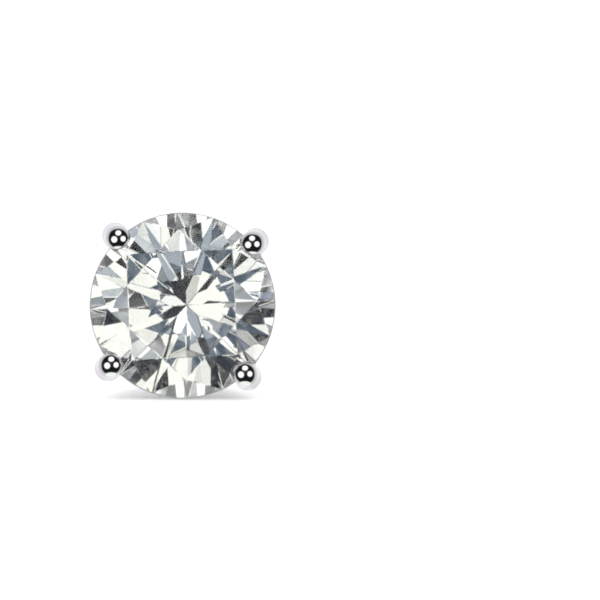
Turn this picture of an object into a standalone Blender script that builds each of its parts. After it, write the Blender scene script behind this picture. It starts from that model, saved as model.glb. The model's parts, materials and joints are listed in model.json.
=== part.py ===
"""A four-prong diamond stud earring, lying on its side with its friction back pushed on.

Units are metres and +Z is up. Each piece is modelled upright in the stud's own frame, where the girdle
is at height 0 and the table faces +Z. The empty "stud_axis" then lays the stud down, so that the table
faces -Y and the post points along +Y, as far tipped as it is when the girdle and the back touch a table.
"""

import math

import bmesh
import bpy
from mathutils import Matrix, Vector

# Round brilliant
STONE_RADIUS = 0.00325
TABLE_RADIUS = 0.0020
CROWN_ANGLE = math.radians(31.6)
PAVILION_ANGLE = math.radians(41.85)
GIRDLE_THICKNESS = 0.000215
CULET_SHIFT_RIGHT = 0.000125
CULET_SHIFT_UP = 0.000045
STONE_TURN = math.radians(3.0)
STAR_SHARE = 0.54
LOWER_HALF_SHARE = 0.85
MAIN_FACETS = 8
GIRDLE_SIDES = 96

# Four-prong basket
PRONG_ANGLES = [math.radians(angle) for angle in (41.5, 134.0, 220.0, 312.5)]
PRONG_RADIUS = 0.000475
PRONG_OUTSET = 0.00021
PRONG_BASE_RADIUS = 0.0020
PRONG_BASE_BEND = 0.0009
PRONG_KNEE_BEND = 0.0005
PRONG_FOOT_RADIUS = 0.0005
TIP_RADIUS = 0.00045
TIP_DOME = 0.00033
TIP_OUTSET = -0.00002
TIP_RISE = 0.0003
SEAT_GAP = 0.00006
RAIL_RADIUS = 0.00033
RAIL_INSET = 0.00027
UPPER_RAIL_DEPTH = 0.0011
LOWER_RAIL_DEPTH = 0.0026

# Boss under the point of the stone, and the post
CULET_GAP = 0.00025
BOSS_RADIUS = 0.00125
BOSS_COLLAR = 0.00015
BOSS_EDGE = 0.00012
POST_RADIUS = 0.0004
POST_LENGTH = 0.0095
GROOVE_DEPTH = 0.00006
GROOVE_LENGTH = 0.0004
GROOVE_FROM_TIP = 0.0016

# Friction back, a strip curled into two scrolls
STRIP_THICKNESS = 0.0003
STRIP_HALF_WIDTH = 0.00185
SCROLL_RADIUS = 0.0011
SCROLL_PITCH = 0.00055
SCROLL_SWEEP = math.radians(430.0)
BACK_GAP = 0.00005
LOBE_SPACE = 0.0038

# How finely round forms are divided
WIRE_SIDES_RESOLUTION = 4
RING_SEGMENTS = 48
RING_SIDES = 12
TURNED_SEGMENTS = 32
ARC_STEP = math.radians(12.0)
TIP_STEPS = 5
SCROLL_STEP = math.radians(15.0)

# Lengths that follow from the sizes above
GIRDLE_TOP = GIRDLE_THICKNESS / 2.0
GIRDLE_BOTTOM = -GIRDLE_THICKNESS / 2.0
TABLE_HEIGHT = GIRDLE_TOP + (STONE_RADIUS - TABLE_RADIUS) * math.tan(CROWN_ANGLE)
CULET_HEIGHT = GIRDLE_BOTTOM - STONE_RADIUS * math.tan(PAVILION_ANGLE)
FOOT_HEIGHT = CULET_HEIGHT - CULET_GAP - PRONG_RADIUS
BOSS_TOP = FOOT_HEIGHT + PRONG_RADIUS
BOSS_BACK = FOOT_HEIGHT - PRONG_RADIUS - BOSS_COLLAR
POST_END = BOSS_BACK - POST_LENGTH
BACK_FRONT = BOSS_BACK - LOBE_SPACE

CUT_TOLERANCE = 2.0e-7
MERGE_DISTANCE = 1.0e-7


def polar(radius, angle, height):
    """Return the point at a radius, an angle about the stud's axis and a height."""
    return Vector((radius * math.cos(angle), radius * math.sin(angle), height))


def material(name, color, metallic, roughness, transmission=0.0, ior=1.5):
    """Return a plain material for one kind of stuff."""
    result = bpy.data.materials.new(name)
    result.use_nodes = True
    shader = result.node_tree.nodes["Principled BSDF"]
    shader.inputs["Base Color"].default_value = (*color, 1.0)
    shader.inputs["Metallic"].default_value = metallic
    shader.inputs["Roughness"].default_value = roughness
    shader.inputs["Transmission Weight"].default_value = transmission
    shader.inputs["IOR"].default_value = ior
    result.diffuse_color = (*color, 1.0)
    return result


def add_object(name, data, collection):
    """Put mesh or curve data into the scene as an object of one collection."""
    result = bpy.data.objects.new(name, data)
    collection.objects.link(result)
    return result


def as_helper(helper):
    """Mark an object that only cuts or joins others."""
    helper.hide_render = True
    helper.display_type = "WIRE"
    return helper


def facet_plane(first, second, third):
    """Return a point and the outward normal of the facet through three points of the stone."""
    normal = (second - first).cross(third - first).normalized()
    if normal.dot(first) < 0.0:
        normal.negate()
    return first, normal


def facet_planes():
    """Return the planes of the table and of every facet of the crown and the pavilion."""
    step = math.tau / MAIN_FACETS
    half = step / 2.0
    culet = Vector((CULET_SHIFT_RIGHT, CULET_SHIFT_UP, CULET_HEIGHT))
    table_apothem = TABLE_RADIUS * math.cos(half)
    star_radius = table_apothem + STAR_SHARE * (STONE_RADIUS - table_apothem)
    star_height = GIRDLE_TOP + (STONE_RADIUS - star_radius * math.cos(half)) * math.tan(CROWN_ANGLE)
    main_angles = [STONE_TURN + half + step * index for index in range(MAIN_FACETS)]

    planes = [(Vector((0.0, 0.0, TABLE_HEIGHT)), Vector((0.0, 0.0, 1.0)))]
    pavilion_mains = []
    for angle in main_angles:
        crown_normal = polar(math.sin(CROWN_ANGLE), angle, math.cos(CROWN_ANGLE))
        planes.append((polar(STONE_RADIUS, angle, GIRDLE_TOP), crown_normal))
        edge_point = polar(STONE_RADIUS, angle, GIRDLE_BOTTOM)
        along_edge = polar(STONE_RADIUS, angle + math.pi / 2.0, 0.0)
        pavilion_mains.append(facet_plane(edge_point, edge_point + along_edge, culet))
    planes.extend(pavilion_mains)

    for index, main_angle in enumerate(main_angles):
        angle = main_angle + half
        star_tip = polar(star_radius, angle, star_height)
        table_corner = polar(TABLE_RADIUS, angle - half, TABLE_HEIGHT)
        next_corner = polar(TABLE_RADIUS, angle + half, TABLE_HEIGHT)
        planes.append(facet_plane(table_corner, next_corner, star_tip))
        normal = pavilion_mains[index][1]
        next_normal = pavilion_mains[(index + 1) % MAIN_FACETS][1]
        ridge = normal.cross(next_normal)
        ridge *= (1.0 - LOWER_HALF_SHARE) * (GIRDLE_BOTTOM - CULET_HEIGHT) / ridge.z
        lower_tip = culet + ridge
        for side in (-half, half):
            top_point = polar(STONE_RADIUS, angle, GIRDLE_TOP)
            planes.append(facet_plane(star_tip, top_point, polar(STONE_RADIUS, angle + side, GIRDLE_TOP)))
            bottom_point = polar(STONE_RADIUS, angle, GIRDLE_BOTTOM)
            beside = polar(STONE_RADIUS, angle + side, GIRDLE_BOTTOM)
            planes.append(facet_plane(lower_tip, bottom_point, beside))
    return planes


def brilliant_mesh(name, grow=0.0):
    """Cut a cylinder along every facet plane, with each plane moved out by grow."""
    mesh = bmesh.new()
    rough_depth = 2.0 * (abs(CULET_HEIGHT) + TABLE_HEIGHT + grow)
    radius = STONE_RADIUS + grow
    bmesh.ops.create_cone(
        mesh,
        cap_ends=True,
        segments=GIRDLE_SIDES,
        radius1=radius,
        radius2=radius,
        depth=rough_depth,
        matrix=Matrix.Rotation(STONE_TURN, 4, "Z"),
    )
    for point, normal in facet_planes():
        cut = bmesh.ops.bisect_plane(
            mesh,
            geom=mesh.verts[:] + mesh.edges[:] + mesh.faces[:],
            dist=CUT_TOLERANCE,
            plane_co=point + normal * grow,
            plane_no=normal,
            clear_outer=True,
        )
        rim = [item for item in cut["geom_cut"] if isinstance(item, bmesh.types.BMEdge)]
        bmesh.ops.contextual_create(mesh, geom=[edge for edge in rim if edge.is_boundary])
    bmesh.ops.remove_doubles(mesh, verts=mesh.verts[:], dist=MERGE_DISTANCE)
    bmesh.ops.recalc_face_normals(mesh, faces=mesh.faces[:])
    data = bpy.data.meshes.new(name)
    mesh.to_mesh(data)
    mesh.free()
    return data


def rounded_path(corners, bends):
    """Return points along straight runs through (radius, height) corners, with an arc at each inner corner."""
    points = [corners[0]]
    for before, corner, after, bend in zip(corners, corners[1:], corners[2:], bends):
        arriving = (corner - before).normalized()
        leaving = (after - corner).normalized()
        turn = arriving.angle(leaving)
        setback = bend * math.tan(turn / 2.0)
        side = arriving.x * leaving.y - arriving.y * leaving.x
        inward = Vector((-arriving.y, arriving.x)) * math.copysign(1.0, side)
        start = corner - arriving * setback
        centre = start + inward * bend
        steps = max(2, math.ceil(turn / ARC_STEP))
        for index in range(steps + 1):
            angle = turn * index / steps
            points.append(centre - inward * bend * math.cos(angle) + arriving * bend * math.sin(angle))
    points.append(corners[-1])
    return points


def prong_line():
    """Return the knee and base corners of a prong's centre line, as (radius, height) points."""
    knee = Vector((STONE_RADIUS + PRONG_OUTSET, 0.0))
    base = Vector((PRONG_BASE_RADIUS, FOOT_HEIGHT))
    return base, knee


def prong_radius_at(height):
    """Return how far the straight part of a prong's centre line is from the axis at a height."""
    base, knee = prong_line()
    share = (height - base.y) / (knee.y - base.y)
    return base.x + share * (knee.x - base.x)


def prong_stations():
    """Return the (radius, height) points of a prong from foot to rounded tip, and its half width at each."""
    base, knee = prong_line()
    foot = Vector((PRONG_FOOT_RADIUS, FOOT_HEIGHT))
    tip = Vector((STONE_RADIUS + TIP_OUTSET, TIP_RISE))
    path = rounded_path([foot, base, knee, tip], [PRONG_BASE_BEND, PRONG_KNEE_BEND])
    stations = []
    for point in path:
        above = max(0.0, point.y - knee.y) / (tip.y - knee.y)
        stations.append((point, PRONG_RADIUS + (TIP_RADIUS - PRONG_RADIUS) * above))
    leaving = (tip - knee).normalized()
    for index in range(1, TIP_STEPS + 1):
        angle = math.pi / 2.0 * index / (TIP_STEPS + 0.5)
        stations.append((tip + leaving * TIP_DOME * math.sin(angle), TIP_RADIUS * math.cos(angle)))
    return stations


def mesh_from_curve(curve_object, collection):
    """Replace a curve object by a closed mesh object of the same name and place."""
    bpy.context.view_layer.update()
    evaluated = curve_object.evaluated_get(bpy.context.evaluated_depsgraph_get())
    data = bpy.data.meshes.new_from_object(evaluated)
    welded = bmesh.new()
    welded.from_mesh(data)
    bmesh.ops.remove_doubles(welded, verts=welded.verts[:], dist=MERGE_DISTANCE)
    bmesh.ops.recalc_face_normals(welded, faces=welded.faces[:])
    welded.to_mesh(data)
    welded.free()
    name = curve_object.name
    place = curve_object.matrix_world.copy()
    bpy.data.objects.remove(curve_object, do_unlink=True)
    result = add_object(name, data, collection)
    result.matrix_world = place
    return result


def prong(index, angle, collection):
    """Make one prong as a round wire that narrows to a rounded tip over the crown."""
    stations = prong_stations()
    data = bpy.data.curves.new(f"prong_{index + 1}", "CURVE")
    data.dimensions = "3D"
    data.bevel_depth = PRONG_RADIUS
    data.bevel_resolution = WIRE_SIDES_RESOLUTION
    data.use_fill_caps = True
    spline = data.splines.new("POLY")
    spline.points.add(len(stations) - 1)
    for target, (point, half_width) in zip(spline.points, stations):
        target.co = (*polar(point.x, angle, point.y), 1.0)
        target.radius = half_width / PRONG_RADIUS
    return as_helper(mesh_from_curve(add_object(data.name, data, collection), collection))


def gallery_rail(name, depth, collection):
    """Make one of the two rings that tie the prongs together under the stone."""
    bpy.ops.mesh.primitive_torus_add(
        major_segments=RING_SEGMENTS,
        minor_segments=RING_SIDES,
        major_radius=prong_radius_at(-depth) - RAIL_INSET,
        minor_radius=RAIL_RADIUS,
        location=(0.0, 0.0, -depth),
    )
    result = bpy.context.object
    result.name = name
    for owner in result.users_collection:
        owner.objects.unlink(result)
    collection.objects.link(result)
    return as_helper(result)


def quarter_round(centre_radius, centre_height, radius, start_angle):
    """Return points a quarter turn clockwise about a centre, as (radius, height) pairs."""
    steps = 4
    angles = [start_angle - math.pi / 2.0 * index / steps for index in range(steps + 1)]
    return [
        (centre_radius + radius * math.cos(angle), centre_height + radius * math.sin(angle))
        for angle in angles
    ]


def post_profile():
    """Return the outer line of the boss and the post, from the top of the axis down to the tip."""
    groove_top = POST_END + GROOVE_FROM_TIP + GROOVE_LENGTH
    groove_middle = groove_top - GROOVE_LENGTH / 2.0
    profile = [(0.0, BOSS_TOP)]
    profile += quarter_round(BOSS_RADIUS - BOSS_EDGE, BOSS_TOP - BOSS_EDGE, BOSS_EDGE, math.pi / 2.0)
    profile += quarter_round(BOSS_RADIUS - BOSS_EDGE, BOSS_BACK + BOSS_EDGE, BOSS_EDGE, 0.0)
    profile += [
        (POST_RADIUS, BOSS_BACK),
        (POST_RADIUS, groove_top),
        (POST_RADIUS - GROOVE_DEPTH, groove_middle),
        (POST_RADIUS, groove_top - GROOVE_LENGTH),
    ]
    profile += quarter_round(0.0, POST_END + POST_RADIUS, POST_RADIUS, 0.0)[:-1]
    profile.append((0.0, POST_END))
    return profile


def turned_object(name, profile, collection):
    """Turn a (radius, height) profile about the stud's axis."""
    data = bpy.data.meshes.new(name)
    corners = [(radius, 0.0, height) for radius, height in profile]
    data.from_pydata(corners, [(index, index + 1) for index in range(len(corners) - 1)], [])
    result = add_object(name, data, collection)
    screw = result.modifiers.new("turn", "SCREW")
    screw.axis = "Z"
    screw.angle = math.tau
    screw.steps = TURNED_SEGMENTS
    screw.render_steps = TURNED_SEGMENTS
    screw.use_merge_vertices = True
    screw.merge_threshold = MERGE_DISTANCE
    return result


def add_boolean(target, operation, other):
    """Join another object to the target, or cut it out of the target."""
    modifier = target.modifiers.new(f"{operation.lower()}_{other.name}", "BOOLEAN")
    modifier.operation = operation
    modifier.solver = "EXACT"
    modifier.object = other


def prong_setting(parts, helpers):
    """Make the basket and its post, soldered into one piece, with the stone's seat cut into the prongs."""
    result = turned_object("prong_setting", post_profile(), parts)
    for index, angle in enumerate(PRONG_ANGLES):
        add_boolean(result, "UNION", prong(index, angle, helpers))
    for name, depth in (("upper_rail", UPPER_RAIL_DEPTH), ("lower_rail", LOWER_RAIL_DEPTH)):
        add_boolean(result, "UNION", gallery_rail(name, depth, helpers))
    seat = as_helper(add_object("stone_seat", brilliant_mesh("stone_seat", SEAT_GAP), helpers))
    add_boolean(result, "DIFFERENCE", seat)
    return result


def scroll_radius_at(sweep):
    """Return the radius of the strip's middle line after it has curled through an angle."""
    return SCROLL_RADIUS - SCROLL_PITCH * sweep / math.tau


def scroll_centre():
    """Return how far a scroll's centre is from the axis, so that the scroll just clears the post."""
    return POST_RADIUS + BACK_GAP + STRIP_THICKNESS / 2.0 + scroll_radius_at(math.radians(270.0))


def back_depth():
    """Return how deep the friction back is along the post."""
    return STRIP_THICKNESS + SCROLL_RADIUS + scroll_radius_at(math.pi)


def strip_path():
    """Return the (x, z) middle line of the whole strip, from one scroll's inner end to the other's."""
    centre_x = scroll_centre()
    plate_height = BACK_FRONT - STRIP_THICKNESS / 2.0
    steps = round(SCROLL_SWEEP / SCROLL_STEP)
    half = []
    for index in range(steps + 1):
        sweep = SCROLL_SWEEP * index / steps
        angle = math.pi / 2.0 - sweep
        radius = scroll_radius_at(sweep)
        half.append((
            centre_x + radius * math.cos(angle),
            plate_height - SCROLL_RADIUS + radius * math.sin(angle),
        ))
    return [(-x, z) for x, z in reversed(half)] + half


def friction_back(parts, helpers):
    """Make the friction back: a flat plate with a hole for the post, and a scroll at each end."""
    ribbon = bmesh.new()
    corners = [ribbon.verts.new((x, -STRIP_HALF_WIDTH, z)) for x, z in strip_path()]
    edges = [ribbon.edges.new(pair) for pair in zip(corners, corners[1:])]
    widened = bmesh.ops.extrude_edge_only(ribbon, edges=edges)
    moved = [item for item in widened["geom"] if isinstance(item, bmesh.types.BMVert)]
    bmesh.ops.translate(ribbon, verts=moved, vec=(0.0, 2.0 * STRIP_HALF_WIDTH, 0.0))
    bmesh.ops.recalc_face_normals(ribbon, faces=ribbon.faces[:])
    data = bpy.data.meshes.new("friction_back")
    ribbon.to_mesh(data)
    ribbon.free()
    result = add_object("friction_back", data, parts)
    wall = result.modifiers.new("strip_thickness", "SOLIDIFY")
    wall.thickness = STRIP_THICKNESS
    wall.offset = 0.0
    wall.use_even_offset = True

    drill = bmesh.new()
    bmesh.ops.create_cone(
        drill,
        cap_ends=True,
        segments=TURNED_SEGMENTS,
        radius1=POST_RADIUS + BACK_GAP,
        radius2=POST_RADIUS + BACK_GAP,
        depth=2.0 * STRIP_THICKNESS,
        matrix=Matrix.Translation((0.0, 0.0, BACK_FRONT - STRIP_THICKNESS / 2.0)),
    )
    drill_data = bpy.data.meshes.new("post_hole")
    drill.to_mesh(drill_data)
    drill.free()
    add_boolean(result, "DIFFERENCE", as_helper(add_object("post_hole", drill_data, helpers)))
    return result


def evaluated_corners(parts):
    """Return the lowest and highest corners of the finished pieces in the world."""
    bpy.context.view_layer.update()
    graph = bpy.context.evaluated_depsgraph_get()
    points = []
    for part in parts:
        evaluated = part.evaluated_get(graph)
        points += [evaluated.matrix_world @ vertex.co for vertex in evaluated.data.vertices]
    low = Vector([min(point[axis] for point in points) for axis in range(3)])
    high = Vector([max(point[axis] for point in points) for axis in range(3)])
    return low, high


def lay_down(parts, helpers):
    """Tip the stud onto its girdle and the rear of its back, with the origin under its middle."""
    rear = -BACK_FRONT + back_depth() + GIRDLE_BOTTOM
    rest_tilt = math.atan2(STONE_RADIUS - STRIP_HALF_WIDTH, rear)
    axis = bpy.data.objects.new("stud_axis", None)
    bpy.context.scene.collection.objects.link(axis)
    axis.rotation_euler = (math.pi / 2.0 - rest_tilt, 0.0, 0.0)
    for item in [*parts, *helpers]:
        item.parent = axis
    low, high = evaluated_corners(parts)
    middle = (low + high) / 2.0
    axis.location = (-middle.x, -middle.y, -low.z)


def main():
    """Clear the scene and build the earring."""
    for item in list(bpy.data.objects):
        bpy.data.objects.remove(item, do_unlink=True)
    parts = bpy.data.collections.new("diamond_earring")
    helpers = bpy.data.collections.new("cutters")
    bpy.context.scene.collection.children.link(parts)
    bpy.context.scene.collection.children.link(helpers)

    diamond = material("diamond", (1.0, 1.0, 1.0), 0.0, 0.0, transmission=1.0, ior=2.417)
    white_gold = material("white_gold", (0.86, 0.85, 0.87), 1.0, 0.1)
    polished_back = material("white_gold_back", (0.84, 0.83, 0.85), 1.0, 0.2)

    stone = add_object("diamond_stone", brilliant_mesh("diamond_stone"), parts)
    stone.data.materials.append(diamond)
    setting = prong_setting(parts, helpers)
    setting.data.materials.append(white_gold)
    back = friction_back(parts, helpers)
    back.data.materials.append(polished_back)
    lay_down([stone, setting, back], list(helpers.objects))


main()
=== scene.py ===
"""The looks of the diamond stud earring, built round its solid model.

Lengths are metres. "Stud frame" below means the stud standing on its post: the girdle is at height 0, the
table faces +Z, and +Y points up in the photograph. The metal is described once, as a distance to its
surface, and a fine mesh is drawn onto that surface, so that wires, solder and seats flow into each other.
"""

import math

import bmesh
import bpy
import numpy as np
from mathutils import Matrix, Vector
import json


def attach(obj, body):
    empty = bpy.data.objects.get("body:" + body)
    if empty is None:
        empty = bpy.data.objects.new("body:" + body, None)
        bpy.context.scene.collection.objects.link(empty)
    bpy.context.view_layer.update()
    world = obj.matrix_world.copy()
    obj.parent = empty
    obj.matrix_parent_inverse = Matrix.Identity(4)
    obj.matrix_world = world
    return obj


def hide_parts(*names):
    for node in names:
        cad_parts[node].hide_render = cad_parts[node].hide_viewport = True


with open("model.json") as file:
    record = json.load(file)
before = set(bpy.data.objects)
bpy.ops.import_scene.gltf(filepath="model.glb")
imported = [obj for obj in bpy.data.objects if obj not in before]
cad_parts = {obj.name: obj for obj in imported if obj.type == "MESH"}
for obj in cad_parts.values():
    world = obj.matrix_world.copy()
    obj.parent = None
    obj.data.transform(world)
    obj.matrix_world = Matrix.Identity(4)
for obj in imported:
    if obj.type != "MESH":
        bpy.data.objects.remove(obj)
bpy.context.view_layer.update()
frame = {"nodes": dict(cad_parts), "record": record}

# Basket sizes, as the solids have them
STONE_RADIUS = 0.00325
TABLE_RADIUS = 0.0020
CROWN_ANGLE = math.radians(31.6)
PAVILION_ANGLE = math.radians(41.85)
GIRDLE_THICKNESS = 0.000215
PRONG_ANGLES = [math.radians(angle) for angle in (41.5, 134.0, 220.0, 312.5)]
PRONG_RADIUS = 0.000475
PRONG_OUTSET = 0.00021
PRONG_BASE_RADIUS = 0.0020
PRONG_BASE_BEND = 0.0009
PRONG_KNEE_BEND = 0.0005
PRONG_FOOT_RADIUS = 0.0005
TIP_RADIUS = 0.00045
TIP_DOME = 0.00033
TIP_OUTSET = -0.00002
TIP_RISE = 0.0003
RAIL_RADIUS = 0.00033
RAIL_INSET = 0.00027
RAIL_DEPTHS = (0.0011, 0.0026)
CULET_GAP = 0.00025
BOSS_RADIUS = 0.00125
BOSS_COLLAR = 0.00015
BOSS_EDGE = 0.00012
POST_RADIUS = 0.0004
POST_LENGTH = 0.0095
GROOVE_DEPTH = 0.00006
GROOVE_LENGTH = 0.0004
GROOVE_FROM_TIP = 0.0016

# Friction back sizes, as the solids have them
STRIP_THICKNESS = 0.0003
STRIP_HALF_WIDTH = 0.00185
SCROLL_RADIUS = 0.0011
SCROLL_PITCH = 0.00055
SCROLL_SWEEP = math.radians(430.0)
BACK_GAP = 0.00005
LOBE_SPACE = 0.0038

# Fine forms that only the looks have
SOLDER_FILLET = 0.00016
TIP_FILLET = 0.00014
TIP_WIRE_RADIUS = 0.00027
SEAT_GAP = 0.000015
SEAT_EDGE = 0.00003
STRIP_EDGE = 0.00006
HOLE_EDGE = 0.00006
FACET_EDGE = 0.000012
SAME_FACET = math.radians(1.0)
PAVILION_ROUGHNESS = 0.08
GROUND_EDGE = 0.00004
GROUND_BLUR = 0.2
GROUND_ROUGHNESS = 0.6
GROUND_COLOR = (0.58, 0.60, 0.61)
CLEAR_COLOR = (0.985, 0.99, 0.985)

# Colors of the metals, and how strongly diamond bends light
WHITE_GOLD = (0.86, 0.85, 0.88)
WHITE_GOLD_BACK = (0.84, 0.83, 0.86)
DIAMOND_INDEX = 2.417

# The grids that the fine meshes come from: the size of a cell, the empty cells round a piece, the cells that
# a first coarse look skips, how far outside the metal the stone's seat can still matter, and for the slope
# of a distance the part of a cell between its samples and the least steepness that is believed
SETTING_CELL = 0.000055
BACK_CELL = 0.00005
BORDER_CELLS = 3.0
COARSE_CELLS = 4
SEAT_REACH = 4.0 * SETTING_CELL
SLOPE_SAMPLES = 30.0
LEAST_STEEPNESS = 0.05

# Flaws in the stone: how far each is to the right of the axis, above it and under the table, its half
# length, and its turn in the photograph
FLAWS = (
    ("feather", -0.00108, 0.00123, 0.00030, 0.00021, math.radians(-34.0)),
    ("feather edge", -0.00126, 0.00108, 0.00030, 0.00011, math.radians(-4.0)),
    ("mark at the table's corner", -0.00077, 0.00180, 0.00020, 0.00014, math.radians(-14.0)),
    ("upper speck", 0.00009, 0.00184, 0.00020, 0.00005, math.radians(-62.0)),
    ("lower speck", 0.00001, 0.00167, 0.00025, 0.00005, math.radians(20.0)),
    ("bubble", -0.00079, -0.00041, 0.00030, 0.00005, 0.0),
    ("feather at the right", 0.00175, -0.00037, 0.00040, 0.00012, math.radians(-25.0)),
)

# A flaw's width and thickness as shares of its half length, how deep its dents are, how fast they shift from
# one flaw to the next, and its colors
FLAW_WIDTH = 0.12
FLAW_THICKNESS = 0.1
FLAW_DENTS = 0.2
FLAW_SHIFT = 60000.0
FLAW_DARK = (0.03, 0.025, 0.02)
FLAW_PALE = (0.22, 0.21, 0.18)

# The photograph's frame: where the middle of the girdle and its edge are, in pixels
FRAME_PIXELS = 600
STONE_PIXEL = (182.6, 305.3)
STONE_RADIUS_PIXELS = 93.2
CAMERA_DISTANCE = 0.22
SENSOR_WIDTH = 36.0
TABLE_ABOVE_VIEW = math.radians(2.7)
TABLE_LEFT_OF_VIEW = math.radians(1.8)

# The studio, painted in this order, once as the metal and the stone's surface mirror it and once as it comes
# through the stone. Angles are degrees from the camera's direction, to the right and up, then come the
# disc's angular radius, the softness of its edge and its color
DARK_IN_METAL = (0.010, 0.012, 0.014)
STUDIO_IN_METAL = (
    ("white surface around", 180.0, 0.0, 98.0, 5.0, (0.67, 0.67, 0.675)),
    ("white surface behind", 180.0, 0.0, 52.0, 34.0, (1.00, 0.985, 1.01)),
    ("white card below", 0.0, -90.0, 30.0, 2.0, (1.06, 1.09, 1.00)),
    ("dim ceiling", -3.0, 22.0, 25.0, 3.0, (0.03, 0.03, 0.035)),
    ("light above", 0.0, 45.0, 20.0, 2.0, (1.35, 1.35, 1.30)),
    ("light at the left", -32.0, -6.0, 23.0, 2.0, (1.35, 1.35, 1.30)),
    ("light at the right", 38.0, -1.0, 19.5, 2.0, (1.35, 1.35, 1.30)),
)
DARK_IN_STONE = (0.004, 0.007, 0.012)
STUDIO_IN_STONE = (
    ("white surface around", 180.0, 0.0, 100.0, 5.0, (0.57, 0.57, 0.58)),
    ("white card below", 0.0, -90.0, 26.0, 2.0, (1.13, 1.13, 1.02)),
    ("grey card low at the right", 72.0, -50.0, 17.0, 2.0, (0.86, 0.83, 0.74)),
    ("grey card high at the right", 37.0, 52.0, 14.0, 2.0, (0.25, 0.30, 0.42)),
    ("bright card at the far left", -88.0, 11.0, 25.0, 2.0, (1.60, 1.61, 1.53)),
    ("grey round the lens", -3.0, 11.0, 24.0, 2.0, (0.105, 0.145, 0.195)),
    ("grey ceiling", -5.0, 33.0, 20.0, 2.0, (0.47, 0.53, 0.60)),
    ("grey card high at the left", -55.0, 58.0, 20.0, 2.0, (0.86, 0.90, 0.98)),
    ("light above", 3.0, 43.0, 18.0, 2.0, (1.76, 1.77, 1.68)),
    ("light at the left", -30.0, -8.0, 24.0, 2.0, (1.38, 1.39, 1.28)),
    ("light at the right", 40.0, -1.5, 19.5, 2.0, (1.30, 1.31, 1.25)),
)
DOME_LEVEL = 1.5
BACKGROUND_LEVEL = 1.0
FLOOR_COLOR = (0.97, 0.97, 0.97)
FLOOR_HALF_WIDTH = 0.4

# Lengths that follow from the sizes above
CULET_HEIGHT = -GIRDLE_THICKNESS / 2.0 - STONE_RADIUS * math.tan(PAVILION_ANGLE)
FOOT_HEIGHT = CULET_HEIGHT - CULET_GAP - PRONG_RADIUS
BOSS_TOP = FOOT_HEIGHT + PRONG_RADIUS
BOSS_BACK = FOOT_HEIGHT - PRONG_RADIUS - BOSS_COLLAR
POST_END = BOSS_BACK - POST_LENGTH
BACK_FRONT = BOSS_BACK - LOBE_SPACE
KNEE = np.array([STONE_RADIUS + PRONG_OUTSET, 0.0])
TIP = np.array([STONE_RADIUS + TIP_OUTSET, TIP_RISE])


def stud_matrix():
    """Return the matrix from the stud frame to the row's frame, as the boss's back face gives it."""
    mount = next(item for item in frame["record"]["mounts"] if item["name"] == "boss_back")
    to_table = -Vector(mount["axis"])
    to_right = Vector((1.0, 0.0, 0.0))
    to_top = to_table.cross(to_right)
    face_middle = (POST_RADIUS + BOSS_RADIUS - BOSS_EDGE) / 2.0
    place = Vector(mount["pos_m"]) - to_top * face_middle - to_table * BOSS_BACK
    result = Matrix((to_right, to_top, to_table)).transposed().to_4x4()
    result.translation = place
    return result


# Distances to the metal, for rows of points in the stud frame


def smooth_union(first, second, fillet):
    """Join two distances with a soft fillet between them."""
    overlap = np.maximum(fillet - np.abs(first - second), 0.0) / fillet
    return np.minimum(first, second) - overlap * overlap * fillet / 4.0


def smooth_cut(kept, removed, edge):
    """Take the inside of one distance out of another, with a softened edge."""
    return -smooth_union(-kept, removed, edge)


def rounded_box(first, second, rounding):
    """Return the distance to a rounded rectangle's side, from the distances to its two pairs of sides."""
    first = first + rounding
    second = second + rounding
    outside = np.hypot(np.maximum(first, 0.0), np.maximum(second, 0.0))
    return outside + np.minimum(np.maximum(first, second), 0.0) - rounding


def path_pieces(corners, bends):
    """Return the straight runs and arcs of a path through (radius, height) corners with rounded bends."""
    pieces = []
    start = corners[0]
    for before, corner, after, bend in zip(corners, corners[1:], corners[2:], bends):
        arriving = (corner - before) / np.linalg.norm(corner - before)
        leaving = (after - corner) / np.linalg.norm(after - corner)
        turn = math.acos(float(np.clip(arriving @ leaving, -1.0, 1.0)))
        side = math.copysign(1.0, arriving[0] * leaving[1] - arriving[1] * leaving[0])
        inward = np.array([-arriving[1], arriving[0]]) * side
        bend_start = corner - arriving * bend * math.tan(turn / 2.0)
        bend_end = corner + leaving * bend * math.tan(turn / 2.0)
        pieces.append(("run", start, bend_start))
        pieces.append(("arc", bend_start + inward * bend, bend, -inward, arriving, turn))
        start = bend_end
    pieces.append(("run", start, corners[-1]))
    return pieces


def nearest_on_run(points, start, end):
    """Return the nearest points of a straight run."""
    span = end - start
    share = np.clip((points - start) @ span / (span @ span), 0.0, 1.0)
    return start + share[:, None] * span


def nearest_on_arc(points, centre, bend, out, along, turn):
    """Return the nearest points of an arc that starts at centre + out * bend and heads along."""
    offset = points - centre
    angle = np.clip(np.arctan2(offset @ along, offset @ out), 0.0, turn)
    return centre + bend * (np.cos(angle)[:, None] * out + np.sin(angle)[:, None] * along)


def nearest_on_path(points, pieces):
    """Return the distance to a path in its own plane, and the height of its nearest point."""
    best = np.full(len(points), np.inf)
    height = np.zeros(len(points))
    for kind, *shape in pieces:
        nearest = nearest_on_run(points, *shape) if kind == "run" else nearest_on_arc(points, *shape)
        gap = np.hypot(*(points - nearest).T)
        closer = gap < best
        best[closer] = gap[closer]
        height[closer] = nearest[closer, 1]
    return best, height


PRONG_PATH = path_pieces(
    [np.array([PRONG_FOOT_RADIUS, FOOT_HEIGHT]), np.array([PRONG_BASE_RADIUS, FOOT_HEIGHT]), KNEE, TIP],
    [PRONG_BASE_BEND, PRONG_KNEE_BEND],
)


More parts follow.
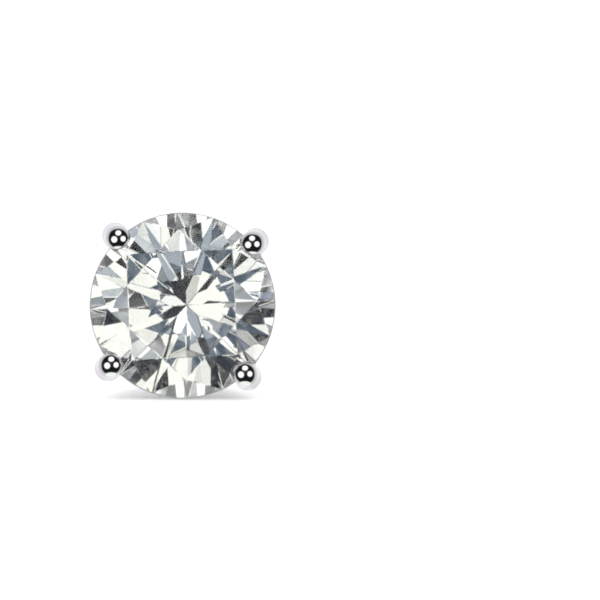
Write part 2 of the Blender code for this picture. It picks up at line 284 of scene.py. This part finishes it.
def prong_distance(points):
    """Return the distance to the nearest of the prongs, with its domed tip."""
    angle = np.arctan2(points[:, 1], points[:, 0])
    from_prong = np.full(len(points), math.pi)
    for prong_angle in PRONG_ANGLES:
        from_this = (angle - prong_angle + math.pi) % math.tau - math.pi
        from_prong = np.where(np.abs(from_this) < np.abs(from_prong), from_this, from_prong)
    radius = np.hypot(points[:, 0], points[:, 1])
    along = radius * np.cos(from_prong)
    across = radius * np.sin(from_prong)
    gap, height = nearest_on_path(np.stack([along, points[:, 2]], 1), PRONG_PATH)
    above = np.clip(height / TIP_RISE, 0.0, 1.0)
    wire = np.hypot(gap, across) - (PRONG_RADIUS + (TIP_WIRE_RADIUS - PRONG_RADIUS) * above)
    # The dome is flatter than a ball
    rise = (points[:, 2] - TIP[1]) * TIP_RADIUS / TIP_DOME
    dome = (np.sqrt((along - TIP[0]) ** 2 + across**2 + rise**2) - TIP_RADIUS) * TIP_DOME / TIP_RADIUS
    return smooth_union(wire, dome, TIP_FILLET)


def rail_distance(points, depth):
    """Return the distance to one of the two rings under the stone."""
    base = np.array([PRONG_BASE_RADIUS, FOOT_HEIGHT])
    share = (-depth - base[1]) / (KNEE[1] - base[1])
    ring_radius = base[0] + share * (KNEE[0] - base[0]) - RAIL_INSET
    from_ring = np.hypot(points[:, 0], points[:, 1]) - ring_radius
    return np.hypot(from_ring, points[:, 2] + depth) - RAIL_RADIUS


def boss_distance(points):
    """Return the distance to the round boss under the stone's point."""
    middle = (BOSS_TOP + BOSS_BACK) / 2.0
    sideways = np.hypot(points[:, 0], points[:, 1]) - BOSS_RADIUS
    endways = np.abs(points[:, 2] - middle) - (BOSS_TOP - BOSS_BACK) / 2.0
    return rounded_box(sideways, endways, BOSS_EDGE)


def post_distance(points):
    """Return the distance to the post, with its rounded tip and its groove."""
    sideways = np.hypot(points[:, 0], points[:, 1])
    past_tip = np.minimum(points[:, 2] - (POST_END + POST_RADIUS), 0.0)
    past_top = np.maximum(points[:, 2] - (BOSS_BACK + BOSS_COLLAR), 0.0)
    shaft = np.hypot(sideways, past_tip + past_top) - POST_RADIUS
    groove_middle = POST_END + GROOVE_FROM_TIP + GROOVE_LENGTH / 2.0
    from_groove = np.clip((points[:, 2] - groove_middle) / (GROOVE_LENGTH / 2.0), -1.0, 1.0)
    return shaft + GROOVE_DEPTH * (0.5 + 0.5 * np.cos(math.pi * from_groove))


def stone_planes(to_row):
    """Return the outward normals and offsets of the stone's faces in the stud frame."""
    to_stud = to_row.inverted()
    turn = to_stud.to_3x3()
    mesh = frame["nodes"]["diamond_stone"].data
    planes = {}
    for polygon in mesh.polygons:
        normal = (turn @ polygon.normal).normalized()
        offset = normal.dot(to_stud @ mesh.vertices[polygon.vertices[0]].co)
        planes[tuple(round(part, 3) for part in normal)] = (*normal, offset)
    table = np.array(list(planes.values()))
    return table[:, :3], table[:, 3]


def setting_distance(points, planes):
    """Return the distance to the soldered basket and post, with the stone's seat cut out."""
    metal = prong_distance(points)
    for depth in RAIL_DEPTHS:
        metal = smooth_union(metal, rail_distance(points, depth), SOLDER_FILLET)
    metal = smooth_union(metal, boss_distance(points), SOLDER_FILLET)
    metal = smooth_union(metal, post_distance(points), SOLDER_FILLET)
    normals, offsets = planes
    # The seat is cut at every depth, because the stone's edge reaches far into the prongs
    beside = (metal < SEAT_REACH) & (points[:, 2] > CULET_HEIGHT)
    beside &= np.hypot(points[:, 0], points[:, 1]) < STONE_RADIUS + SEAT_REACH
    stone = np.max(points[beside] @ normals.T - offsets, axis=1, initial=-np.inf) - SEAT_GAP
    metal[beside] = smooth_cut(metal[beside], stone, SEAT_EDGE)
    return metal


def scroll_radius_at(sweep):
    """Return the radius of the strip's middle line after it has curled through an angle."""
    return SCROLL_RADIUS - SCROLL_PITCH * sweep / math.tau


def back_distance(points):
    """Return the distance to the friction back: a plate with a hole, and a scroll at each end."""
    centre_x = POST_RADIUS + BACK_GAP + STRIP_THICKNESS / 2.0 + scroll_radius_at(math.radians(270.0))
    plate_height = BACK_FRONT - STRIP_THICKNESS / 2.0
    across = np.abs(points[:, 0])
    place = np.stack([across, points[:, 2]], 1)
    plate = nearest_on_run(place, np.array([0.0, plate_height]), np.array([centre_x, plate_height]))
    gap = np.hypot(*(place - plate).T)
    from_centre = place - np.array([centre_x, plate_height - SCROLL_RADIUS])
    radius = np.hypot(*from_centre.T)
    turned = (math.pi / 2.0 - np.arctan2(from_centre[:, 1], from_centre[:, 0])) % math.tau
    for lap in (0.0, math.tau):
        sweep = turned + lap
        wound = np.where(sweep <= SCROLL_SWEEP, np.abs(radius - scroll_radius_at(sweep)), np.inf)
        gap = np.minimum(gap, wound)
    end_angle = math.pi / 2.0 - SCROLL_SWEEP
    end = scroll_radius_at(SCROLL_SWEEP) * np.array([math.cos(end_angle), math.sin(end_angle)])
    gap = np.minimum(gap, np.hypot(*(from_centre - end).T))
    strip = rounded_box(gap - STRIP_THICKNESS / 2.0, np.abs(points[:, 1]) - STRIP_HALF_WIDTH, STRIP_EDGE)
    hole = np.hypot(points[:, 0], points[:, 1]) - (POST_RADIUS + BACK_GAP)
    return smooth_cut(strip, hole, HOLE_EDGE)


# Fine meshes drawn onto a surface that is given as a distance


def value_and_slope(distance, points, step):
    """Return the distance at points and how it changes along each axis, from four samples round each."""
    value = np.zeros(len(points))
    slope = np.zeros_like(points)
    for direction in ((1.0, -1.0, -1.0), (-1.0, -1.0, 1.0), (-1.0, 1.0, -1.0), (1.0, 1.0, 1.0)):
        sample = distance(points + np.array(direction) * step)
        value += sample / 4.0
        slope += sample[:, None] * np.array(direction) / (4.0 * step)
    return value, slope


def onto_surface(distance, points, cell):
    """Move points along the slope until they lie on the surface."""
    value, slope = value_and_slope(distance, points, cell / SLOPE_SAMPLES)
    steepness = np.maximum((slope * slope).sum(1), LEAST_STEEPNESS)
    move = slope * (value / steepness)[:, None]
    length = np.linalg.norm(move, axis=1, keepdims=True)
    return points - move * np.minimum(1.0, cell / np.maximum(length, cell / 1000.0))


def inside_layer(distance, across, along, height, cell):
    """Return which points of one grid layer are inside, with close looks only near the surface."""
    rough = np.stack(np.meshgrid(across[::COARSE_CELLS], along[::COARSE_CELLS], [height], indexing="ij"), -1)
    rough = distance(rough.reshape(-1, 3)).reshape(rough.shape[:2])
    known = rough.repeat(COARSE_CELLS, 0).repeat(COARSE_CELLS, 1)[: len(across), : len(along)]
    inside = known < 0.0
    close = np.abs(known) < 1.5 * COARSE_CELLS * cell
    fine = np.stack(np.meshgrid(across, along, [height], indexing="ij"), -1)[:, :, 0]
    inside[close] = distance(fine[close]) < 0.0
    return inside


def fill_diagonals(inside):
    """Fill each grid square that has only two opposite corners inside, so that no edge has four faces."""
    unclear = True
    while unclear:
        unclear = False
        for first, second in ((0, 1), (1, 2), (0, 2)):
            beside = np.roll(inside, -1, first)
            above = np.roll(inside, -1, second)
            opposite = np.roll(beside, -1, second)
            square = (inside == opposite) & (beside == above) & (inside != beside)
            unclear = unclear or bool(square.any())
            for shift in ((0, 0), (1, 0), (0, 1), (1, 1)):
                inside |= np.roll(square, shift, (first, second))


def crossed_cells(distance, low, high, cell):
    """Return which grid corners are inside the surface, and the number of each cell that it crosses."""
    counts = np.ceil((np.array(high) - np.array(low)) / cell).astype(int) + 1
    lines = [low[axis] + cell * np.arange(counts[axis]) for axis in range(3)]
    inside = np.zeros(counts, dtype=bool)
    for index, height in enumerate(lines[2]):
        inside[:, :, index] = inside_layer(distance, lines[0], lines[1], height, cell)
    fill_diagonals(inside)
    corners = np.zeros(counts - 1, dtype=int)
    for shift in np.ndindex(2, 2, 2):
        window = tuple(slice(part, part + size - 1) for part, size in zip(shift, counts))
        corners += inside[window]
    crossed = (corners > 0) & (corners < 8)
    numbers = np.full(crossed.shape, -1)
    numbers[crossed] = np.arange(crossed.sum())
    return inside, numbers, np.array(low) + cell * (np.argwhere(crossed) + 0.5)


def surface_quads(inside, numbers):
    """Return a quad round each grid edge that passes through the surface, facing out."""
    quads = []
    for axis in range(3):
        crossing = np.argwhere(inside != np.roll(inside, -1, axis))
        first = np.eye(3, dtype=int)[(axis + 1) % 3]
        second = np.eye(3, dtype=int)[(axis + 2) % 3]
        around = [crossing, crossing - first, crossing - first - second, crossing - second]
        ring = np.stack([numbers[tuple(cells.T)] for cells in around], 1)
        leaving = inside[tuple(crossing.T)]
        quads.append(np.where(leaving[:, None], ring, ring[:, ::-1]))
    return np.concatenate(quads)


def neighbour_average(points, quads):
    """Return the average of each point's neighbours along the quads' sides."""
    total = np.zeros_like(points)
    count = np.zeros(len(points))
    for corner in range(4):
        here = quads[:, corner]
        for other in (quads[:, (corner + 1) % 4], quads[:, (corner + 3) % 4]):
            count += np.bincount(here, minlength=len(points))
            for axis in range(3):
                total[:, axis] += np.bincount(here, weights=points[other, axis], minlength=len(points))
    return total / count[:, None]


def drawn_mesh(name, distance, low, high, cell, to_row):
    """Return a mesh of even quads on the surface, with the surface's own normals."""
    inside, numbers, points = crossed_cells(distance, low, high, cell)
    quads = surface_quads(inside, numbers)
    for _ in range(3):
        points = onto_surface(distance, points, cell)
    for _ in range(3):
        points = onto_surface(distance, 0.5 * points + 0.5 * neighbour_average(points, quads), cell)
    points = onto_surface(distance, points, cell)
    _, normals = value_and_slope(distance, points, cell / SLOPE_SAMPLES)
    turn = np.array(to_row.to_3x3())
    mesh = bpy.data.meshes.new(name)
    mesh.from_pydata(points @ turn.T + np.array(to_row.translation), [], quads.tolist())
    mesh.polygons.foreach_set("use_smooth", [True] * len(quads))
    normals = normals @ turn.T
    normals /= np.linalg.norm(normals, axis=1, keepdims=True)
    mesh.normals_split_custom_set_from_vertices(normals.tolist())
    mesh.update()
    return mesh


# Pieces


def add_piece(name, mesh, material, node=None):
    """Add a piece that rides on the earring, and stands for a node of the frame where one is named."""
    piece = bpy.data.objects.new(name, mesh)
    bpy.context.scene.collection.objects.link(piece)
    mesh.materials.clear()
    mesh.materials.append(material)
    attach(piece, "root")
    if node:
        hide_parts(node)
    return piece


def make_setting(to_row, material):
    """Draw the basket, its solder joints and the post."""
    planes = stone_planes(to_row)
    reach = KNEE[0] + PRONG_RADIUS + BORDER_CELLS * SETTING_CELL
    top = TIP[1] + TIP_DOME + BORDER_CELLS * SETTING_CELL
    bottom = POST_END - BORDER_CELLS * SETTING_CELL

    def distance(points):
        return setting_distance(points, planes)

    nearest_corner = (-reach, -reach, bottom)
    farthest_corner = (reach, reach, top)
    mesh = drawn_mesh("setting", distance, nearest_corner, farthest_corner, SETTING_CELL, to_row)
    return add_piece("polished_setting", mesh, material, "prong_setting")


def make_back(to_row, material):
    """Draw the friction back."""
    wide = POST_RADIUS + BACK_GAP + STRIP_THICKNESS + 2.0 * SCROLL_RADIUS
    tall = STRIP_HALF_WIDTH + BORDER_CELLS * BACK_CELL
    rear = BACK_FRONT - STRIP_THICKNESS - 2.0 * SCROLL_RADIUS
    front = BACK_FRONT + BORDER_CELLS * BACK_CELL
    mesh = drawn_mesh("back", back_distance, (-wide, -tall, rear), (wide, tall, front), BACK_CELL, to_row)
    return add_piece("polished_back", mesh, material, "friction_back")


def make_stone(material):
    """Copy the stone, join the triangles of each facet and take the sharpness off the facet edges."""
    mesh = bmesh.new()
    mesh.from_mesh(frame["nodes"]["diamond_stone"].data)
    bmesh.ops.remove_doubles(mesh, verts=mesh.verts[:], dist=1.0e-8)
    bmesh.ops.dissolve_limit(
        mesh,
        angle_limit=SAME_FACET,
        verts=mesh.verts[:],
        edges=mesh.edges[:],
    )
    bmesh.ops.bevel(
        mesh,
        geom=mesh.edges[:],
        offset=FACET_EDGE,
        segments=1,
        profile=0.5,
        affect="EDGES",
        clamp_overlap=True,
    )
    data = bpy.data.meshes.new("stone")
    mesh.to_mesh(data)
    mesh.free()
    return add_piece("polished_stone", data, material, "diamond_stone")


def make_flaws(to_row, material):
    """Put the stone's few dark crystals and feathers under its table."""
    table_height = GIRDLE_THICKNESS / 2.0 + (STONE_RADIUS - TABLE_RADIUS) * math.tan(CROWN_ANGLE)
    flaws = bmesh.new()
    for _, right, top, depth, half_length, turn in FLAWS:
        place = to_row @ Matrix.Translation((right, top, table_height - depth))
        place = place @ Matrix.Rotation(turn, 4, "Z")
        shape = Matrix.Diagonal((half_length, FLAW_WIDTH * half_length, FLAW_THICKNESS * half_length, 1.0))
        lump = bmesh.ops.create_icosphere(flaws, subdivisions=3, radius=1.0)["verts"]
        for corner in lump:
            wave = math.sin(5.0 * corner.co.x + FLAW_SHIFT * right)
            wave += math.sin(7.0 * corner.co.y + 4.0 * corner.co.z)
            corner.co = place @ shape @ (corner.co * (1.0 + FLAW_DENTS * wave))
    data = bpy.data.meshes.new("flaws")
    flaws.to_mesh(data)
    flaws.free()
    return add_piece("stone_flaws", data, material)


# Materials


def new_material(name):
    """Return a material, its Principled shader and its tree."""
    result = bpy.data.materials.new(name)
    result.use_nodes = True
    tree = result.node_tree
    return result, tree.nodes["Principled BSDF"], tree


def noise(tree, scale, detail, stretch=(1.0, 1.0, 1.0)):
    """Add noise over the piece, with so many waves to a metre, and return its value."""
    place = tree.nodes.new("ShaderNodeTexCoord")
    mapping = tree.nodes.new("ShaderNodeMapping")
    mapping.inputs["Scale"].default_value = stretch
    texture = tree.nodes.new("ShaderNodeTexNoise")
    texture.inputs["Scale"].default_value = scale
    texture.inputs["Detail"].default_value = detail
    tree.links.new(place.outputs["Object"], mapping.inputs["Vector"])
    tree.links.new(mapping.outputs["Vector"], texture.inputs["Vector"])
    return texture.outputs["Fac"]


def vector_math(tree, operation, first, second):
    """Add a vector operation between an output and a constant."""
    result = tree.nodes.new("ShaderNodeVectorMath")
    result.operation = operation
    result.inputs[1].default_value = second
    tree.links.new(first, result.inputs[0])
    return result


def mapped(tree, value, source, target):
    """Map an output from one range onto another."""
    result = tree.nodes.new("ShaderNodeMapRange")
    result.inputs["From Min"].default_value, result.inputs["From Max"].default_value = source
    result.inputs["To Min"].default_value, result.inputs["To Max"].default_value = target
    tree.links.new(value, result.inputs["Value"])
    return result.outputs["Result"]


def mixed(tree, share, first, second):
    """Mix two colors by a share, where each color is a constant or an output."""
    result = tree.nodes.new("ShaderNodeMix")
    result.data_type = "RGBA"
    tree.links.new(share, result.inputs["Factor"])
    for socket, color in (("A", first), ("B", second)):
        if isinstance(color, tuple):
            result.inputs[socket].default_value = (*color, 1.0)
        else:
            tree.links.new(color, result.inputs[socket])
    return result.outputs["Result"]


def white_gold(name, color, smooth, rough, scratches):
    """Return rhodium-plated white gold: mirror polish with faint waves and wiping scratches."""
    result, shader, tree = new_material(name)
    shader.inputs["Base Color"].default_value = (*color, 1.0)
    shader.inputs["Metallic"].default_value = 1.0
    haze = mapped(tree, noise(tree, scale=1400.0, detail=3.0), (0.3, 0.7), (smooth, rough))
    tree.links.new(haze, shader.inputs["Roughness"])
    waves = tree.nodes.new("ShaderNodeBump")
    waves.inputs["Distance"].default_value = 0.000004
    waves.inputs["Strength"].default_value = 0.4
    tree.links.new(noise(tree, scale=1100.0, detail=1.0), waves.inputs["Height"])
    lines = tree.nodes.new("ShaderNodeBump")
    lines.inputs["Distance"].default_value = 0.0000006
    lines.inputs["Strength"].default_value = scratches
    wiped = noise(tree, scale=9000.0, detail=4.0, stretch=(1.0, 0.12, 1.0))
    tree.links.new(wiped, lines.inputs["Height"])
    tree.links.new(waves.outputs["Normal"], lines.inputs["Normal"])
    tree.links.new(lines.outputs["Normal"], shader.inputs["Normal"])
    return result


def diamond(to_row):
    """Return diamond: polished, with less crisp deep facets and a ground girdle that shows as a line."""
    result, shader, tree = new_material("diamond")
    shader.inputs["Transmission Weight"].default_value = 1.0
    shader.inputs["IOR"].default_value = DIAMOND_INDEX
    axis = to_row.to_3x3() @ Vector((0.0, 0.0, 1.0))
    normal = tree.nodes.new("ShaderNodeNewGeometry").outputs["True Normal"]
    along = vector_math(tree, "DOT_PRODUCT", normal, axis)
    polish = mapped(tree, along.outputs["Value"], (-0.2, 0.2), (PAVILION_ROUGHNESS, 0.0))
    place = tree.nodes.new("ShaderNodeTexCoord").outputs["Object"]
    offset = vector_math(tree, "SUBTRACT", place, to_row.translation)
    across = vector_math(tree, "CROSS_PRODUCT", offset.outputs["Vector"], axis)
    from_axis = tree.nodes.new("ShaderNodeVectorMath")
    from_axis.operation = "LENGTH"
    tree.links.new(across.outputs["Vector"], from_axis.inputs[0])
    starts = STONE_RADIUS - (1.0 + GROUND_BLUR) * GROUND_EDGE
    complete = STONE_RADIUS - (1.0 - GROUND_BLUR) * GROUND_EDGE
    ground = mapped(tree, from_axis.outputs["Value"], (starts, complete), (0.0, 1.0))
    roughness = tree.nodes.new("ShaderNodeMix")
    roughness.inputs["B"].default_value = GROUND_ROUGHNESS
    tree.links.new(ground, roughness.inputs["Factor"])
    tree.links.new(polish, roughness.inputs["A"])
    tree.links.new(roughness.outputs["Result"], shader.inputs["Roughness"])
    tree.links.new(mixed(tree, ground, CLEAR_COLOR, GROUND_COLOR), shader.inputs["Base Color"])
    return result


def flaw():
    """Return the dull grey-brown of crystals and feathers inside the stone."""
    result, shader, tree = new_material("flaw")
    colors = tree.nodes.new("ShaderNodeValToRGB")
    colors.color_ramp.elements[0].position = 0.4
    colors.color_ramp.elements[0].color = (*FLAW_DARK, 1.0)
    colors.color_ramp.elements[1].position = 0.62
    colors.color_ramp.elements[1].color = (*FLAW_PALE, 1.0)
    tree.links.new(noise(tree, scale=12000.0, detail=3.0), colors.inputs["Fac"])
    tree.links.new(colors.outputs["Color"], shader.inputs["Base Color"])
    shader.inputs["Roughness"].default_value = 0.6
    return result


# Studio


def camera_axes():
    """Return the directions to the camera, to the right and up, as the photograph is seen."""
    to_table = stud_matrix().to_3x3() @ Vector((0.0, 0.0, 1.0))
    elevation = math.asin(to_table.z) - TABLE_ABOVE_VIEW
    sideways = math.cos(elevation) * math.sin(TABLE_LEFT_OF_VIEW)
    forwards = math.cos(elevation) * math.cos(TABLE_LEFT_OF_VIEW)
    to_camera = Vector((sideways, -forwards, math.sin(elevation)))
    to_right = Vector((0.0, 0.0, 1.0)).cross(to_camera).normalized()
    return to_camera, to_right, to_camera.cross(to_right)


def add_camera(to_row):
    """Stand the camera so that the stone has its place and size in the photograph."""
    to_camera, to_right, to_top = camera_axes()
    pixel = STONE_RADIUS / STONE_RADIUS_PIXELS
    middle = FRAME_PIXELS / 2.0
    stone = to_row.translation
    aim = stone + to_right * (middle - STONE_PIXEL[0]) * pixel - to_top * (middle - STONE_PIXEL[1]) * pixel
    data = bpy.data.cameras.new("camera")
    data.sensor_width = SENSOR_WIDTH
    data.lens = SENSOR_WIDTH * CAMERA_DISTANCE / (FRAME_PIXELS * pixel)
    data.clip_start = 0.001
    data.clip_end = 10.0
    camera = bpy.data.objects.new("camera", data)
    camera.location = stone + to_camera * CAMERA_DISTANCE
    camera.rotation_euler = (aim - camera.location).to_track_quat("-Z", "Y").to_euler()
    bpy.context.scene.collection.objects.link(camera)
    bpy.context.scene.camera = camera


def add_floor():
    """Lay the pale surface that the stud rests on. Mirrors and the stone show the studio in its place."""
    mesh = bmesh.new()
    bmesh.ops.create_grid(mesh, x_segments=1, y_segments=1, size=FLOOR_HALF_WIDTH)
    data = bpy.data.meshes.new("floor")
    mesh.to_mesh(data)
    mesh.free()
    floor = bpy.data.objects.new("floor", data)
    bpy.context.scene.collection.objects.link(floor)
    material, shader, _ = new_material("pale_floor")
    shader.inputs["Base Color"].default_value = (*FLOOR_COLOR, 1.0)
    shader.inputs["Roughness"].default_value = 1.0
    shader.inputs["Specular IOR Level"].default_value = 0.0
    data.materials.append(material)
    floor.visible_glossy = False
    floor.visible_transmission = False


def disc_share(tree, direction, centre, radius, softness):
    """Return how far a direction lies inside a soft-edged disc, from 0 to 1."""
    facing = vector_math(tree, "DOT_PRODUCT", direction, centre)
    share = tree.nodes.new("ShaderNodeMapRange")
    share.interpolation_type = "SMOOTHSTEP"
    share.inputs["From Min"].default_value = math.cos(math.radians(radius + softness))
    share.inputs["From Max"].default_value = math.cos(math.radians(radius - softness))
    tree.links.new(facing.outputs["Value"], share.inputs["Value"])
    return share.outputs["Result"]


def painted_studio(tree, direction, dark, discs):
    """Paint the studio's discs over its dark, one after another."""
    to_camera, to_right, to_top = camera_axes()
    color = dark
    for _, sideways, upwards, radius, softness, disc_color in discs:
        side, rise = math.radians(sideways), math.radians(upwards)
        level = to_camera * math.cos(side) + to_right * math.sin(side)
        centre = level * math.cos(rise) + to_top * math.sin(rise)
        color = mixed(tree, disc_share(tree, direction, centre, radius, softness), color, disc_color)
    return color


def add_studio():
    """Light the earring from a far studio, with a plain white dome for the floor and the background."""
    world = bpy.data.worlds.new("studio")
    bpy.context.scene.world = world
    world.use_nodes = True
    world.cycles.sampling_method = "NONE"
    tree = world.node_tree
    direction = tree.nodes.new("ShaderNodeTexCoord").outputs["Generated"]
    path = tree.nodes.new("ShaderNodeLightPath")
    in_metal = painted_studio(tree, direction, DARK_IN_METAL, STUDIO_IN_METAL)
    in_stone = painted_studio(tree, direction, DARK_IN_STONE, STUDIO_IN_STONE)
    color = mixed(tree, path.outputs["Is Transmission Ray"], in_metal, in_stone)
    for flag, brightness in (("Is Diffuse Ray", DOME_LEVEL), ("Is Camera Ray", BACKGROUND_LEVEL)):
        color = mixed(tree, path.outputs[flag], color, (brightness, brightness, brightness))
    tree.links.new(color, tree.nodes["Background"].inputs["Color"])


def set_up_light_paths():
    """Let light cross the stone many times, and keep the white background white."""
    scene = bpy.context.scene
    scene.view_settings.view_transform = "Standard"
    scene.cycles.max_bounces = 32
    scene.cycles.glossy_bounces = 24
    scene.cycles.transmission_bounces = 24
    scene.cycles.diffuse_bounces = 3
    scene.cycles.blur_glossy = 0.0
    scene.cycles.sample_clamp_indirect = 0.0
    scene.cycles.filter_width = 2.0
    scene.cycles.caustics_reflective = True
    scene.cycles.caustics_refractive = True


def main():
    """Build the pieces, the studio and the camera."""
    to_row = stud_matrix()
    make_stone(diamond(to_row))
    make_flaws(to_row, flaw())
    mirror = white_gold("white_gold", WHITE_GOLD, smooth=0.03, rough=0.09, scratches=0.2)
    make_setting(to_row, mirror)
    duller = white_gold("white_gold_back", WHITE_GOLD_BACK, smooth=0.08, rough=0.2, scratches=0.5)
    make_back(to_row, duller)
    add_floor()
    add_studio()
    add_camera(to_row)
    set_up_light_paths()


main()
